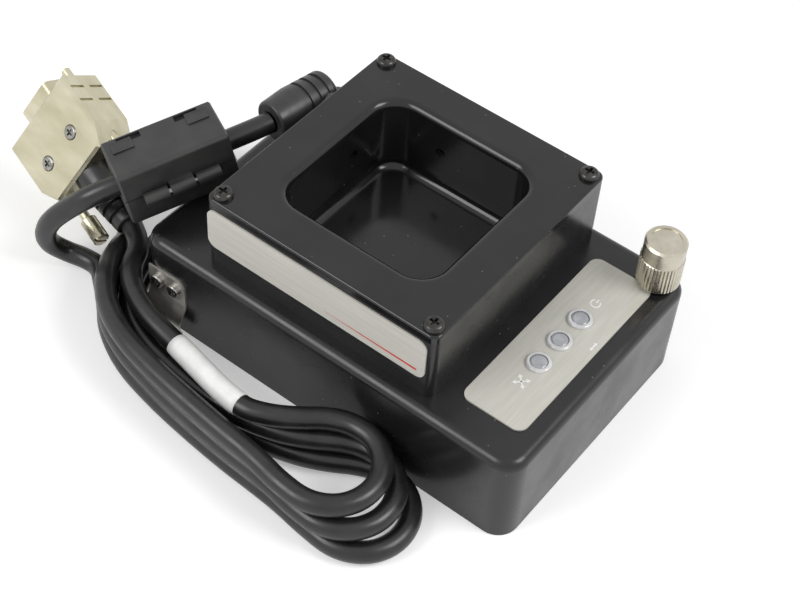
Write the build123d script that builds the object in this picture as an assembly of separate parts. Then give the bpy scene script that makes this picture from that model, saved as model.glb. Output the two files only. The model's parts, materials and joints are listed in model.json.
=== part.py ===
from build123d import *
import math
import os

# Crossed-beam alignment fixture: a flat housing with the footprint of a microplate,
# a square tower with a deep well, and a lead with a ferrite and a nine-way connector.
# Millimetres. X along the housing, Y towards its back, Z up, origin under its middle.

# housing
base_length = 127.76
base_width = 85.48
base_height = 31.4
base_corner = 6.5
base_edge = 3.0
base_wall = 2.6
base_roof = 3.0
plate_thick = 2.0
plate_gap = 0.2
plate_ledge = 1.2
plate_screw_x = 50.0
plate_screw_y = 36.4
boss_radius = 3.5

# tower and well cover
tower_x = -5.0
tower_y = 1.0
tower_side = 77.0
tower_wall = 2.5
tower_corner = 2.5
tower_rise = 24.0
cover_thick = 2.7
cover_screw_inset = 3.5
well_side = 50.5
well_corner = 8.0
well_depth = 24.4
well_floor_round = 3.0
well_rim_round = 2.4
tub_wall = 1.6
tub_gap = 1.2
beam_height = 44.0
beam_x = -12.3
beam_y = 9.6
beam_hole = 3.0

# fixings
screw_core = 2.5
screw_gap = 0.05
button_head = 5.6
button_height = 1.7
pan_head = 4.4

# beam boards, inside the tower
pad_height = 1.5
beam_board_width = 9.2
beam_board_height = 15.0
beam_board_aside = 1.4
board_thick = 1.6
lamp_radius = 2.4
lamp_gap = 0.5

# indicator panel
panel_x = 48.2
panel_y = 0.45
panel_width = 19.6
panel_length = 63.9
panel_corner = 3.0
panel_thick = 0.5
lamp_y = 0.2
lamp_pitch = 9.8
bezel_radius = 3.6
bezel_height = 0.9
window_radius = 2.5
hole_gap = 0.1
lamp_board_width = 14.0
lamp_board_length = 46.0
lamp_board_drop = 4.0
lamp_board_screw = 19.0

# controller board
board_length = 96.0
board_width = 58.0
board_lift = 5.5
board_screw_x = 42.0
board_screw_y = 24.0

# thumb screw
knob_x = 56.5
knob_y = 36.0
knob_radius = 6.0
knob_grip_radius = 6.25
knob_height = 15.4
knob_grip = 9.7
knob_grooves = 40
washer_thick = 0.8
washer_radius = 5.2
stud_radius = 2.0
stud_length = 15.0
stud_gap = 0.06
bush_radius = 3.4
bush_depth = 12.0

# leaf spring
leaf_x = -54.25
leaf_width = 13.5
leaf_thick = 0.6
leaf_top = 21.0
leaf_bend = 12.0
leaf_slit = 0.35
leaf_bow = 3.6
leaf_foot = 1.3
leaf_screw_z = 17.0
leaf_screw_pitch = 6.2

# nameplate
name_length = 73.5
name_height = 14.0
name_mid_z = 45.0
name_mid_x = -5.75
name_corner = 2.75
name_thick = 0.5

# cable gland: a right-angle strain relief on the tower's left wall
cable_radius = 3.15
cable_gap = 0.15
gland_y = 18.3
gland_z = 45.2
gland_reach = 9.6
gland_radius = 7.0
gland_turn = -101.0
gland_ahead = 15.0
gland_behind = 6.0
gland_cap = 8.0
gland_flange = 6.5
gland_thread = 4.0
nut_radius = 5.4
nut_thick = 3.0
seal_thick = 0.8

# ferrite: turned about the vertical, sloping down, leaning over
ferrite_mid = (-69.8, -23.0, 40.0)
ferrite_yaw = -118.2
ferrite_slope = -10.25
ferrite_lean = -5.6
ferrite_length = 33.0
ferrite_width = 17.5
ferrite_height = 18.0
ferrite_shell = 1.4
ferrite_split = 0.3
hinge_pin = 0.9
hinge_out = 2.0
hinge_gap = 0.1
hinge_eye = 1.9
core_gap = 0.15

# connector: its place is the middle of the hood's front
hood_front = (-118.4, -22.5, 29.2)
hood_yaw = -15.1
hood_slope = -13.65
hood_lean = 31.9
hood_width = 31.0
hood_thick = 15.0
hood_length = 24.8
hood_shoulder = 7.0
hood_narrowing = 3.8
hood_wall = 1.5
hood_neck = 6.6
jack_spread = 12.5
jack_shank = 1.4
jack_grip = 2.5
jack_sink = 1.6
jack_end = 32.5
jack_pull = 7.5
jack_tip = 5.0
boot_length = 19.5
boot_tip_radius = 4.6
shell_reach = 5.8
shell_width = 17.0
shell_height = 8.6

# cable on the table
coil_height = 12.7
coil_ridge = 19.0
coil_width = 12.9
rear_bend = (-88.0, -4.0)
front_bend = (13.0, -66.0)
bend_outer = 20.3
sleeve_length = 26.0
sleeve_radius = 3.4

# heights that follow
roof_low = base_height - base_roof
tower_top = base_height + tower_rise
wall_top = tower_top - cover_thick
tub_side = well_side + 2 * tub_wall
screw_square = tower_side - 2 * cover_screw_inset
front_wall = -base_width / 2
tower_left = tower_x - tower_side / 2
tower_front = tower_y - tower_side / 2
knob_seat = base_height + panel_thick
jack_start = hood_length - jack_sink
board_low = plate_thick + board_lift


def save(shape, name):
    """Write one piece to its own file."""
    shape.label = name
    export_step(shape, "parts/" + name + ".step")


def rounded_block(length, width, height, corner, low):
    """A block with rounded upright corners, standing at height low."""
    outline = RectangleRounded(length, width, corner)
    return Pos(0, 0, low) * extrude(outline, height)


def peg(radius, low, high, x=0.0, y=0.0):
    """An upright cylinder between two heights."""
    return Pos(x, y, low) * Cylinder(radius, high - low, align=(Align.CENTER, Align.CENTER, Align.MIN))


def corners(half_x, half_y, mid_x=0.0, mid_y=0.0):
    """The four corners of a rectangle about a middle."""
    spots = []
    for sx in (-1, 1):
        for sy in (-1, 1):
            spots.append((mid_x + sx * half_x, mid_y + sy * half_y))
    return spots


def lying_plane(middle, yaw, slope, lean, upright):
    """The plane of something that lies turned, sloped and leaned; upright names its raised axis."""
    a, b, c = math.radians(yaw), math.radians(slope), math.radians(lean)
    along = Vector(math.cos(b) * math.cos(a), math.cos(b) * math.sin(a), math.sin(b))
    rise = Vector(-math.sin(b) * math.cos(a), -math.sin(b) * math.sin(a), math.cos(b))
    side = Vector(-math.sin(a), math.cos(a), 0)
    raised = rise * math.cos(c) + side * math.sin(c)
    normal = raised if upright == "z" else along.cross(raised)
    return Plane(origin=middle, x_dir=along, z_dir=normal)


# ---------------------------------------------------------------- housing


def cross_recess(depth, span):
    """The cross cut in a screw's head."""
    bar = Box(span, span * 0.28, depth * 2)
    return bar + Rot(0, 0, 90) * bar


def button_screw(shank_length):
    """A button-head screw that points down, its head seated at height 0."""
    dome = Cylinder(button_head / 2, button_height, align=(Align.CENTER, Align.CENTER, Align.MIN))
    dome = fillet(dome.edges().group_by(Axis.Z)[-1], button_height * 0.75)
    head = dome - Pos(0, 0, button_height) * cross_recess(0.9, 2.8)
    return head + peg(screw_core / 2, -shank_length, 0)


def pan_screw(shank_length):
    """A small pan-head screw that points down, its head seated at height 0."""
    head = Cylinder(pan_head / 2, 1.5, align=(Align.CENTER, Align.CENTER, Align.MIN))
    head = fillet(head.edges().group_by(Axis.Z)[-1], 0.6)
    head = head - Pos(0, 0, 1.5) * cross_recess(0.7, 2.4)
    return head + peg(screw_core / 2, -shank_length, 0)


def base_housing():
    """The moulded housing, open below, with its bosses inside."""
    body = rounded_block(base_length, base_width, base_height, base_corner, 0)
    body = fillet(body.edges().group_by(Axis.Z)[-1], base_edge)
    inner_corner = base_corner - base_wall
    inside = rounded_block(base_length - 2 * base_wall, base_width - 2 * base_wall, roof_low, inner_corner, 0)
    body -= inside
    seat_wall = base_wall - plate_ledge
    seat = rounded_block(
        base_length - 2 * seat_wall, base_width - 2 * seat_wall, plate_thick, base_corner - seat_wall, 0
    )
    body -= seat
    for x, y in corners(plate_screw_x, plate_screw_y):
        post = peg(boss_radius, plate_thick, roof_low + 0.5, x, y)
        web = Pos(x, y + math.copysign(2.2, y), (plate_thick + roof_low) / 2)
        body += post + web * Box(2.0, 4.4, roof_low - plate_thick)
    body += peg(bush_radius + 1.6, roof_low - bush_depth + base_roof, roof_low + 0.5, knob_x, knob_y)
    for side in (-1, 1):
        body += peg(2.6, roof_low - lamp_board_drop, roof_low + 0.5, panel_x, lamp_y + side * lamp_board_screw)
    for x, y in corners(plate_screw_x, plate_screw_y):
        body -= peg(screw_core / 2 + screw_gap, 0, 14, x, y)
    opening = rounded_block(tub_side + 2 * tub_gap, tub_side + 2 * tub_gap, 20, well_corner + tub_wall, 20)
    body -= Pos(tower_x, tower_y, 0) * opening
    for x, y in corners(screw_square / 2, screw_square / 2, tower_x, tower_y):
        body -= peg(screw_core / 2 + screw_gap, 20, 40, x, y)
    body -= peg(bush_radius, base_height - bush_depth, 40, knob_x, knob_y)
    body -= peg(stud_radius + 0.6, 10, 40, knob_x, knob_y)
    for k in (-1, 0, 1):
        body -= peg(window_radius + hole_gap, 20, 40, panel_x, lamp_y + k * lamp_pitch)
    for side in (-1, 1):
        y = lamp_y + side * lamp_board_screw
        body -= peg(screw_core / 2 + screw_gap, 20, roof_low + 1.5, panel_x, y)
    for side in (-1, 1):
        x = leaf_x + side * leaf_screw_pitch / 2
        bore = Pos(x, front_wall, leaf_screw_z) * Rot(90, 0, 0) * Cylinder(screw_core / 2 + screw_gap, 20)
        body -= bore
    return body


def bottom_plate():
    """The plate that closes the housing, with posts for the controller board."""
    margin = base_wall - plate_ledge + plate_gap
    plate = rounded_block(
        base_length - 2 * margin, base_width - 2 * margin, plate_thick, base_corner - margin, 0
    )
    for x, y in corners(board_screw_x, board_screw_y):
        plate += peg(3.0, plate_thick - 0.5, board_low, x, y)
        plate -= peg(screw_core / 2 + screw_gap, 1.2, board_low + 1, x, y)
    for x, y in corners(plate_screw_x, plate_screw_y):
        sink = Pos(x, y, 0) * Cone(3.0, screw_core / 2 + screw_gap, 1.7, align=(Align.CENTER, Align.CENTER, Align.MIN))
        plate -= sink
        plate -= peg(screw_core / 2 + screw_gap, -1, 5, x, y)
    for x in (-30, -20, -10, 10, 20, 30):
        plate -= Pos(x, -33.5, 0) * extrude(SlotOverall(9, 2, rotation=90), 5, both=True)
    return plate


def plate_screws():
    """Four countersunk screws, flush with the underside."""
    screws = []
    for x, y in corners(plate_screw_x, plate_screw_y):
        head = Cone(2.85, screw_core / 2, 1.6, align=(Align.CENTER, Align.CENTER, Align.MIN))
        head -= cross_recess(0.8, 2.6)
        head += peg(screw_core / 2, 1.6, 10)
        screws.append(Pos(x, y, 0.05) * head)
    return Compound(children=screws)


def tower_housing():
    """The square tower, open above and below, with a screw post in each corner."""
    shell = rounded_block(tower_side, tower_side, tower_rise - cover_thick, tower_corner, base_height)
    outside = shell
    hollow = tower_side - 2 * tower_wall
    shell -= rounded_block(hollow, hollow, 40, 1.0, base_height - 1)
    for x, y in corners(screw_square / 2, screw_square / 2):
        shell += peg(boss_radius + 0.4, base_height, wall_top, x, y) & outside
    pads = beam_pads()
    shell += pads
    for x, y in corners(screw_square / 2, screw_square / 2):
        shell -= peg(screw_core / 2 + screw_gap, 20, 70, x, y)
    shell = Pos(tower_x, tower_y, 0) * shell
    hole = Pos(tower_left, gland_y, gland_z) * Rot(0, 90, 0) * Cylinder(gland_thread + screw_gap, 12)
    return shell - hole


def beam_places():
    """The four beam stations about the tower's middle: offset along the wall and turn."""
    return {
        "front": (beam_x - tower_x, 0),
        "right": (beam_y - tower_y, 90),
        "back": (-(beam_x - tower_x), 180),
        "left": (-(beam_y - tower_y), 270),
    }


def beam_pads():
    """Two small pads on each wall, to which a beam board is fixed."""
    pads = Part()
    face = tower_side / 2 - tower_wall
    for offset, turn in beam_places().values():
        for lift in (-5.5, 5.5):
            middle = Pos(offset + beam_board_aside, -face + pad_height / 2 - 0.25, beam_height + lift)
            pad = middle * Box(6.0, pad_height + 0.5, 2.4)
            pads += Rot(0, 0, turn) * pad
    return pads


def beam_board(name):
    """The small upright board behind one light hole."""
    offset, turn = beam_places()[name]
    face = tower_side / 2 - tower_wall - pad_height
    board = Box(beam_board_width, board_thick, beam_board_height)
    board = Pos(offset + beam_board_aside, -face + board_thick / 2, beam_height) * board
    return Pos(tower_x, tower_y, 0) * Rot(0, 0, turn) * board


def beam_lamp(name):
    """A round emitter or detector that looks through its hole into the well."""
    offset, turn = beam_places()[name]
    back = tower_side / 2 - tower_wall - pad_height - board_thick
    reach = back - tub_side / 2 - lamp_gap
    rim = Cylinder(lamp_radius + 0.4, 1.0, align=(Align.CENTER, Align.CENTER, Align.MIN))
    body = Cylinder(lamp_radius, reach, align=(Align.CENTER, Align.CENTER, Align.MIN))
    body = fillet(body.edges().group_by(Axis.Z)[-1], lamp_radius * 0.8)
    lamp = Pos(offset, -back, beam_height) * Rot(-90, 0, 0) * (body + rim)
    return Pos(tower_x, tower_y, 0) * Rot(0, 0, turn) * lamp


def well_cover():
    """The lid and the tub of the well in one piece, with a light hole in each wall."""
    lid = rounded_block(tower_side, tower_side, cover_thick, tower_corner, wall_top)
    lid = fillet(lid.edges().group_by(Axis.Z)[-1], 0.7)
    tub_low = tower_top - well_depth - tub_wall
    tub = rounded_block(tub_side, tub_side, tower_top - 1 - tub_low, well_corner + tub_wall, tub_low)
    tub = fillet(tub.edges().group_by(Axis.Z)[0], 2.0)
    body = lid + tub
    hollow = rounded_block(well_side, well_side, well_depth + 5, well_corner, tower_top - well_depth)
    hollow = fillet(hollow.edges().group_by(Axis.Z)[0], well_floor_round)
    body -= hollow
    rim = body.edges().filter_by_position(Axis.Z, tower_top - 0.01, tower_top + 0.01)
    half = well_side / 2 + 0.1
    inner = [e for e in rim if abs(e.center().X) < half and abs(e.center().Y) < half]
    body = fillet(inner, well_rim_round)
    for offset, turn in beam_places().values():
        hole = Pos(offset, -well_side / 2, beam_height) * Rot(90, 0, 0) * Cylinder(beam_hole / 2, 8)
        body -= Rot(0, 0, turn) * hole
    for x, y in corners(screw_square / 2, screw_square / 2):
        body -= peg(screw_core / 2 + screw_gap, wall_top - 1, tower_top + 1, x, y)
    return Pos(tower_x, tower_y, 0) * body


def cover_screws():
    """Four button screws that hold the cover down."""
    spots = corners(screw_square / 2, screw_square / 2, tower_x, tower_y)
    return Compound(children=[Pos(x, y, tower_top) * button_screw(9.0) for x, y in spots])


def tower_screws():
    """Four screws from inside the housing, up into the tower's posts."""
    spots = corners(screw_square / 2, screw_square / 2, tower_x, tower_y)
    return Compound(children=[Pos(x, y, roof_low) * Rot(180, 0, 0) * pan_screw(11.0) for x, y in spots])


def nameplate():
    """The thin plate on the tower's front."""
    outline = RectangleRounded(name_length, name_height, name_corner)
    return Pos(name_mid_x, tower_front, name_mid_z) * Rot(90, 0, 0) * extrude(outline, name_thick)


# ---------------------------------------------------------------- indicators


def indicator_panel():
    """The overlay on the housing's top, with a hole for each lamp."""
    sheet = extrude(RectangleRounded(panel_width, panel_length, panel_corner), panel_thick)
    sheet = Pos(panel_x, panel_y, base_height) * sheet
    for k in (-1, 0, 1):
        sheet -= peg(window_radius + hole_gap, base_height - 1, base_height + 2, panel_x, lamp_y + k * lamp_pitch)
    return sheet


def indicator_bezel(k):
    """The raised ring round one lamp window."""
    low = base_height + panel_thick
    ring = peg(bezel_radius, low, low + bezel_height)
    ring = fillet(ring.edges().group_by(Axis.Z)[-1], 0.6)
    ring -= peg(window_radius + 0.05, low - 1, low + 3)
    return Pos(panel_x, lamp_y + k * lamp_pitch, 0) * ring


def indicator_window(k):
    """The round window of one lamp, domed on top, with its stem through the roof."""
    top = base_height + panel_thick + bezel_height
    stem = peg(window_radius, roof_low, top)
    stem = fillet(stem.edges().group_by(Axis.Z)[-1], 0.7)
    return Pos(panel_x, lamp_y + k * lamp_pitch, 0) * stem


def indicator_board():
    """The board under the roof that carries the three lamps."""
    low = roof_low - lamp_board_drop - board_thick
    board = Pos(panel_x, lamp_y, low) * extrude(Rectangle(lamp_board_width, lamp_board_length), board_thick)
    for side in (-1, 1):
        board -= peg(screw_core / 2 + 0.2, low - 1, roof_low, panel_x, lamp_y + side * lamp_board_screw)
    return board


def indicator_board_screws():
    """Two screws that hold the lamp board to its posts."""
    low = roof_low - lamp_board_drop - board_thick
    screws = []
    for side in (-1, 1):
        spot = Pos(panel_x, lamp_y + side * lamp_board_screw, low)
        screws.append(spot * Rot(180, 0, 0) * pan_screw(5.0))
    return Compound(children=screws)


def indicator_lamp(k):
    """One round lamp on the board."""
    low = roof_low - lamp_board_drop
    body = peg(2.0, low, roof_low - 0.2)
    body = fillet(body.edges().group_by(Axis.Z)[-1], 1.6)
    body += peg(2.4, low, low + 0.8)
    return Pos(panel_x, lamp_y + k * lamp_pitch, 0) * body


# ---------------------------------------------------------------- controller board


def controller_board():
    """The main board on its four posts."""
    board = Pos(0, 0, board_low) * extrude(Rectangle(board_length, board_width), board_thick)
    for x, y in corners(board_screw_x, board_screw_y):
        board -= peg(screw_core / 2 + 0.2, board_low - 1, board_low + 4, x, y)
    return board


def board_screws():
    """Four screws that hold the main board."""
    high = board_low + board_thick
    spots = corners(board_screw_x, board_screw_y)
    return Compound(children=[Pos(x, y, high) * pan_screw(5.0) for x, y in spots])


def controller_chip():
    """The square chip, with a chamfered corner and its row of legs as a skirt."""
    high = board_low + board_thick
    body = Pos(-8, 2, high + 0.2) * extrude(Rectangle(14, 14), 1.6)
    body = chamfer(body.edges().group_by(Axis.Z)[-1], 0.3)
    skirt = Pos(-8, 2, high) * extrude(Rectangle(16, 16) - Rectangle(13, 13), 0.5)
    return body + skirt


def cable_header():
    """The nine-way header for the cable's wires, with its pin sockets."""
    high = board_low + board_thick
    body = Pos(-38, 6, high) * extrude(Rectangle(7.0, 25.0), 8.0)
    for k in range(9):
        body -= Pos(-38, 6 + (k - 4) * 2.54, high + 5.0) * Box(1.2, 1.2, 8.0)
    return body


def board_capacitors():
    """Three upright capacitors."""
    high = board_low + board_thick
    cans = []
    for k in range(3):
        can = peg(3.15, high, high + 11.0, 24, -18 + k * 9.0)
        can = fillet(can.edges().group_by(Axis.Z)[-1], 0.5)
        cans.append(can)
    return Compound(children=cans)


# ---------------------------------------------------------------- thumb screw


def knob_washer():
    """The captive washer that rides up and down with the thumb screw."""
    ring = peg(washer_radius, knob_seat, knob_seat + washer_thick)
    ring -= peg(stud_radius + stud_gap, knob_seat - 1, knob_seat + 3)
    return Pos(knob_x, knob_y, 0) * chamfer(ring.edges().group_by(Axis.Z)[-1].sort_by(SortBy.LENGTH)[-1:], 0.2)


def knob_head():
    """The turned head: a plain band above a grooved grip, slightly dished on top."""
    low = knob_seat + washer_thick
    grip = peg(knob_grip_radius, low, low + knob_grip)
    grip = chamfer(grip.edges().filter_by(GeomType.CIRCLE), 0.4)
    groove_at = knob_grip_radius + 0.12
    for place in PolarLocations(groove_at, knob_grooves):
        grip -= Pos(0, 0, low) * place * Rot(0, 0, 45) * Box(0.55, 0.55, 40)
    band = peg(knob_radius, low + knob_grip - 0.5, low + knob_height)
    band = chamfer(band.edges().group_by(Axis.Z)[-1], 0.6)
    head = grip + band
    head -= peg(knob_radius - 1.6, low + knob_height - 0.25, low + knob_height + 1)
    head -= peg(stud_radius, low - 1, low + 5.0)
    return Pos(knob_x, knob_y, 0) * head


def knob_stud():
    """The threaded stud, pressed into the head, with a pointed end."""
    low = knob_seat + washer_thick
    rod = peg(stud_radius, low - stud_length, low + 5.0)
    rod = chamfer(rod.edges().group_by(Axis.Z)[0], 0.7)
    return Pos(knob_x, knob_y, 0) * rod


def knob_bush():
    """The threaded bush set into the housing's roof."""
    ring = peg(bush_radius, base_height - bush_depth, knob_seat)
    ring -= peg(stud_radius + stud_gap, 0, 40)
    return Pos(knob_x, knob_y, 0) * ring


# ---------------------------------------------------------------- leaf spring


def leaf_plate():
    """The fixed part of the leaf, flat on the front wall, one upper corner rounded."""
    outline = Pos(leaf_x, (leaf_top + leaf_bend) / 2) * Rectangle(leaf_width, leaf_top - leaf_bend)
    upper = outline.vertices().group_by(Axis.Y)[-1].sort_by(Axis.X)
    outline = fillet(upper[-1], 3.0)
    plate = Pos(0, front_wall, 0) * Rot(90, 0, 0) * extrude(outline, leaf_thick)
    for side in (-1, 1):
        x = leaf_x + side * leaf_screw_pitch / 2
        plate -= Pos(x, front_wall, leaf_screw_z) * Rot(90, 0, 0) * Cylinder(screw_core / 2 + 0.15, 8)
    return plate


def leaf_tongue():
    """The free part, bowed away from the wall, with a small curled foot."""
    out = front_wall - leaf_thick / 2
    top = leaf_bend - leaf_slit
    line = FilletPolyline(
        (out, top), (out - leaf_bow, 5.6), (out - leaf_bow + 1.5, leaf_foot + 0.9), (out - leaf_bow - 0.4, leaf_foot),
        radius=[4.0, 0.7],
    )
    section = trace(line, leaf_thick)
    blade = extrude(Plane.YZ * section, leaf_width / 2, both=True)
    return Pos(leaf_x, 0, 0) * blade


def leaf_screws():
    """Two pan-head screws that hold the leaf."""
    screws = []
    for side in (-1, 1):
        place = Pos(leaf_x + side * leaf_screw_pitch / 2, front_wall - leaf_thick, leaf_screw_z)
        screws.append(place * Rot(90, 0, 0) * pan_screw(6.0))
    return Compound(children=screws)


# ---------------------------------------------------------------- cable gland


def gland_plane():
    """The plane at the gland's elbow, its X axis along the way the cable leaves."""
    turn = math.radians(gland_turn)
    middle = (tower_left - gland_reach, gland_y, gland_z)
    return Plane(origin=middle, x_dir=(math.cos(turn), math.sin(turn), 0), z_dir=(0, 0, 1))


def along_x(radius, start, end):
    """A cylinder along X between two stations."""
    return Pos(start, 0, 0) * Rot(0, 90, 0) * Cylinder(radius, end - start, align=(Align.CENTER, Align.CENTER, Align.MIN))


def gland_body():
    """The elbow: a ribbed barrel on a threaded stub with a flange."""
    barrel = along_x(gland_radius, -gland_behind, gland_ahead - gland_cap)
    barrel = fillet(barrel.edges().group_by(Axis.X)[0], 1.5)
    for k in range(3):
        station = -gland_behind + 3.0 + k * 3.2
        groove = along_x(gland_radius + 1, station, station + 1.2) - along_x(gland_radius - 0.6, station, station + 1.2)
        barrel -= groove
    barrel = gland_plane() * barrel
    stub_end = tower_left + tower_wall + nut_thick + 0.8
    stub = Pos(0, gland_y, gland_z) * along_x(gland_thread, tower_left - gland_reach, stub_end)
    flange_start = tower_left - seal_thick - 2.4
    flange = Pos(flange_start, gland_y, gland_z) * Rot(0, 90, 0)
    flange *= extrude(RegularPolygon(gland_flange, 6), 2.4)
    return barrel + stub + flange


def gland_cap_nut():
    """The clamping nut round the cable, tapered towards its mouth."""
    start = gland_ahead - gland_cap
    nut = Pos(start, 0, 0) * Rot(0, 90, 0) * Cone(
        gland_radius, gland_radius - 0.9, gland_cap, align=(Align.CENTER, Align.CENTER, Align.MIN)
    )
    nut = fillet(nut.edges().group_by(Axis.X)[-1], 0.9)
    nut -= along_x(cable_radius + cable_gap, start - 1, gland_ahead + 1)
    return gland_plane() * nut


def gland_seal():
    """The flat seal between the gland and the wall."""
    ring = along_x(gland_flange, tower_left - seal_thick, tower_left)
    ring -= along_x(gland_thread + screw_gap, tower_left - 3, tower_left + 3)
    return Pos(0, gland_y, gland_z) * ring


def gland_locknut():
    """The nut inside the tower."""
    start = tower_left + tower_wall
    nut = along_x(nut_radius, start, start + nut_thick)
    nut = chamfer(nut.edges().filter_by(GeomType.CIRCLE), 0.4)
    nut -= along_x(gland_thread + screw_gap, start - 3, start + 9)
    return Pos(0, gland_y, gland_z) * nut


# ---------------------------------------------------------------- ferrite


def ferrite_plane():
    """X along the cable towards the far end, Y to the hinge side, Z up through the lid."""
    return lying_plane(ferrite_mid, ferrite_yaw, ferrite_slope, ferrite_lean, "z")


def half_case():
    """One half of the case: a shell open at the split, with a cable notch at each end."""
    height = ferrite_height / 2 - ferrite_split / 2
    block = Pos(0, 0, ferrite_split / 2) * extrude(Rectangle(ferrite_length, ferrite_width), height)
    block = fillet(block.edges().filter_by(Axis.X).group_by(Axis.Z)[-1], 1.2)
    block = chamfer(block.edges().group_by(Axis.Z)[-1].filter_by(Axis.Y), 0.5)
    room_x = ferrite_length - 2 * ferrite_shell
    room_y = ferrite_width - 2 * ferrite_shell
    block -= extrude(Rectangle(room_x, room_y), ferrite_height / 2 - ferrite_shell)
    block -= along_x(cable_radius + 0.3, -ferrite_length, ferrite_length)
    return block


def hinge_eyes(stations):
    """The knuckles of the case's hinge, each with an arm on the upper side."""
    eyes = Part()
    for station in stations:
        eyes += Pos(0, ferrite_width / 2 + hinge_out, 0) * along_x(hinge_eye, station - 3.5, station + 3.5)
        arm_height = hinge_eye - ferrite_split / 2
        arm = Box(7.0, hinge_out + 0.5, arm_height)
        eyes += Pos(station, ferrite_width / 2 + hinge_out / 2 - 0.25, ferrite_split / 2 + arm_height / 2) * arm
    return eyes


def hinge_bore():
    """The bore of the hinge pin."""
    middle = Pos(0, ferrite_width / 2 + hinge_out, 0)
    return middle * along_x(hinge_pin + hinge_gap, -ferrite_length, ferrite_length)


def ferrite_lid():
    """The upper half of the case, with its knuckle and two latch windows."""
    lid = half_case()
    for station in (-8.6, 8.6):
        window = Pos(station, -ferrite_width / 2 + 2.6, ferrite_height / 2) * Box(7.0, 2.6, 2.4)
        lid -= window
        slot = Pos(station, -ferrite_width / 2, ferrite_height / 2 - 4.0) * Box(5.4, 1.2, 3.4)
        lid -= slot
    lid += hinge_eyes([0.0])
    return ferrite_plane() * (lid - hinge_bore())


def ferrite_case():
    """The lower half of the case, with two knuckles and the latch hooks."""
    case = Rot(180, 0, 0) * half_case()
    case += mirror(hinge_eyes([-7.8, 7.8]), about=Plane.XY)
    case -= hinge_bore()
    return ferrite_plane() * case


def ferrite_hinge_pin():
    """The pin of the case's hinge."""
    return ferrite_plane() * Pos(0, ferrite_width / 2 + hinge_out, 0) * along_x(hinge_pin, -11.2, 11.2)


def ferrite_core(side):
    """Half of the ferrite core, with half of the cable's bore; side is 1 above, -1 below."""
    room_x = ferrite_length - 2 * ferrite_shell - 2 * core_gap
    room_y = ferrite_width - 2 * ferrite_shell - 2 * core_gap
    height = ferrite_height / 2 - ferrite_shell - ferrite_split / 2
    core = Pos(0, 0, ferrite_split / 2) * extrude(Rectangle(room_x, room_y), height)
    core = chamfer(core.edges().filter_by(Axis.X).group_by(Axis.Z)[-1], 1.0)
    core -= along_x(cable_radius + 0.2, -ferrite_length, ferrite_length)
    if side < 0:
        core = Rot(180, 0, 0) * core
    return ferrite_plane() * core


# ---------------------------------------------------------------- connector


def hood_plane():
    """X from the mating face towards the cable, Y across the hood, Z out of its near face."""
    return lying_plane(hood_front, hood_yaw, hood_slope, hood_lean, "y")


def hood_outline(inset):
    """The hood seen from its flat side, drawn smaller by inset."""
    half = hood_width / 2 - inset
    end = hood_length - inset
    start = hood_length - hood_shoulder
    rear = half - hood_narrowing
    return Polyline(
        (inset, -half), (start, -half), (end, -rear), (end, rear), (start, half), (inset, half), close=True
    )


def hood_half():
    """Half of the metal hood: a shell with channels for the jackscrews, the shell and the cable."""
    half = extrude(make_face(hood_outline(0)), hood_thick / 2)
    half = chamfer(half.edges().group_by(Axis.Z)[-1], 0.8)
    room = extrude(make_face(hood_outline(hood_wall)), hood_thick / 2 - hood_wall)
    half -= room
    for side in (-1, 1):
        half -= Pos(0, side * jack_spread, 0) * along_x(jack_shank + 0.1, -2, hood_length + 2)
        rib = Pos(9.0, side * (jack_spread - 3.2), 0) * extrude(Rectangle(12.0, 1.2), hood_thick / 2 - 1)
        half += rib
        half -= Pos(hood_length, side * jack_spread, 0) * Rot(0, 90, 0) * Cylinder(jack_grip + 0.3, 3.2)
        for station in (4.4, 9.6):
            half -= Pos(station, side * hood_width / 2, hood_thick / 4) * Box(0.9, 1.4, hood_thick / 2 - 2.4)
        post = peg(2.4, 0, hood_thick / 2 - 1, 14.2, side * 6.6)
        half += post
    half -= Pos(0, 0, 0) * Box(3.2, shell_width + 5.4, 11.4)
    half -= along_x(cable_radius + 0.1, hood_length - 3, hood_length + 3)
    return half


def hood_near():
    """The half of the hood that faces out, with its screw seats."""
    half = hood_half()
    for side in (-1, 1):
        half -= peg(screw_core / 2 + screw_gap, -1, 20, 14.2, side * 6.6)
        half -= peg(2.35, hood_thick / 2 - 1.1, 20, 14.2, side * 6.6)
    return hood_plane() * half


def hood_far():
    """The other half, with blind screw bores."""
    half = hood_half()
    for side in (-1, 1):
        half -= peg(screw_core / 2 + screw_gap, -1, hood_thick / 2 - 1.2, 14.2, side * 6.6)
    return hood_plane() * (Rot(180, 0, 0) * half)


def hood_screws():
    """Two screws that join the halves."""
    screws = []
    for side in (-1, 1):
        place = Pos(14.2, side * 6.6, hood_thick / 2 - 1.1)
        screws.append(hood_plane() * place * pan_screw(10.5))
    return Compound(children=screws)


def d_outline(width, height):
    """The D shape of the connector, in a sketch across the hood: width along X, height along Y."""
    slant = height * math.tan(math.radians(10))
    outline = Polyline(
        (-width / 2, height / 2), (width / 2, height / 2),
        (width / 2 - slant, -height / 2), (-width / 2 + slant, -height / 2), close=True,
    )
    shape = make_face(outline)
    return fillet(shape.vertices(), height * 0.24)


def mating_plane():
    """The plane of the hood's front, seen from outside: X across the hood, Z outwards."""
    hood = hood_plane()
    return Plane(origin=hood_front, x_dir=hood.y_dir, z_dir=-hood.x_dir)


def connector_shell():
    """The plated flange with its D-shaped shroud."""
    flange = Pos(0, 0, -1.2) * extrude(RectangleRounded(shell_width + 4.8, 11.0, 1.0), 1.0)
    shroud = Pos(0, 0, -1.2) * extrude(d_outline(shell_width, shell_height), shell_reach + 1.2)
    hollow = Pos(0, 0, -3) * extrude(d_outline(shell_width - 1.0, shell_height - 1.0), shell_reach + 6)
    return mating_plane() * (flange + shroud - hollow)


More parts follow.
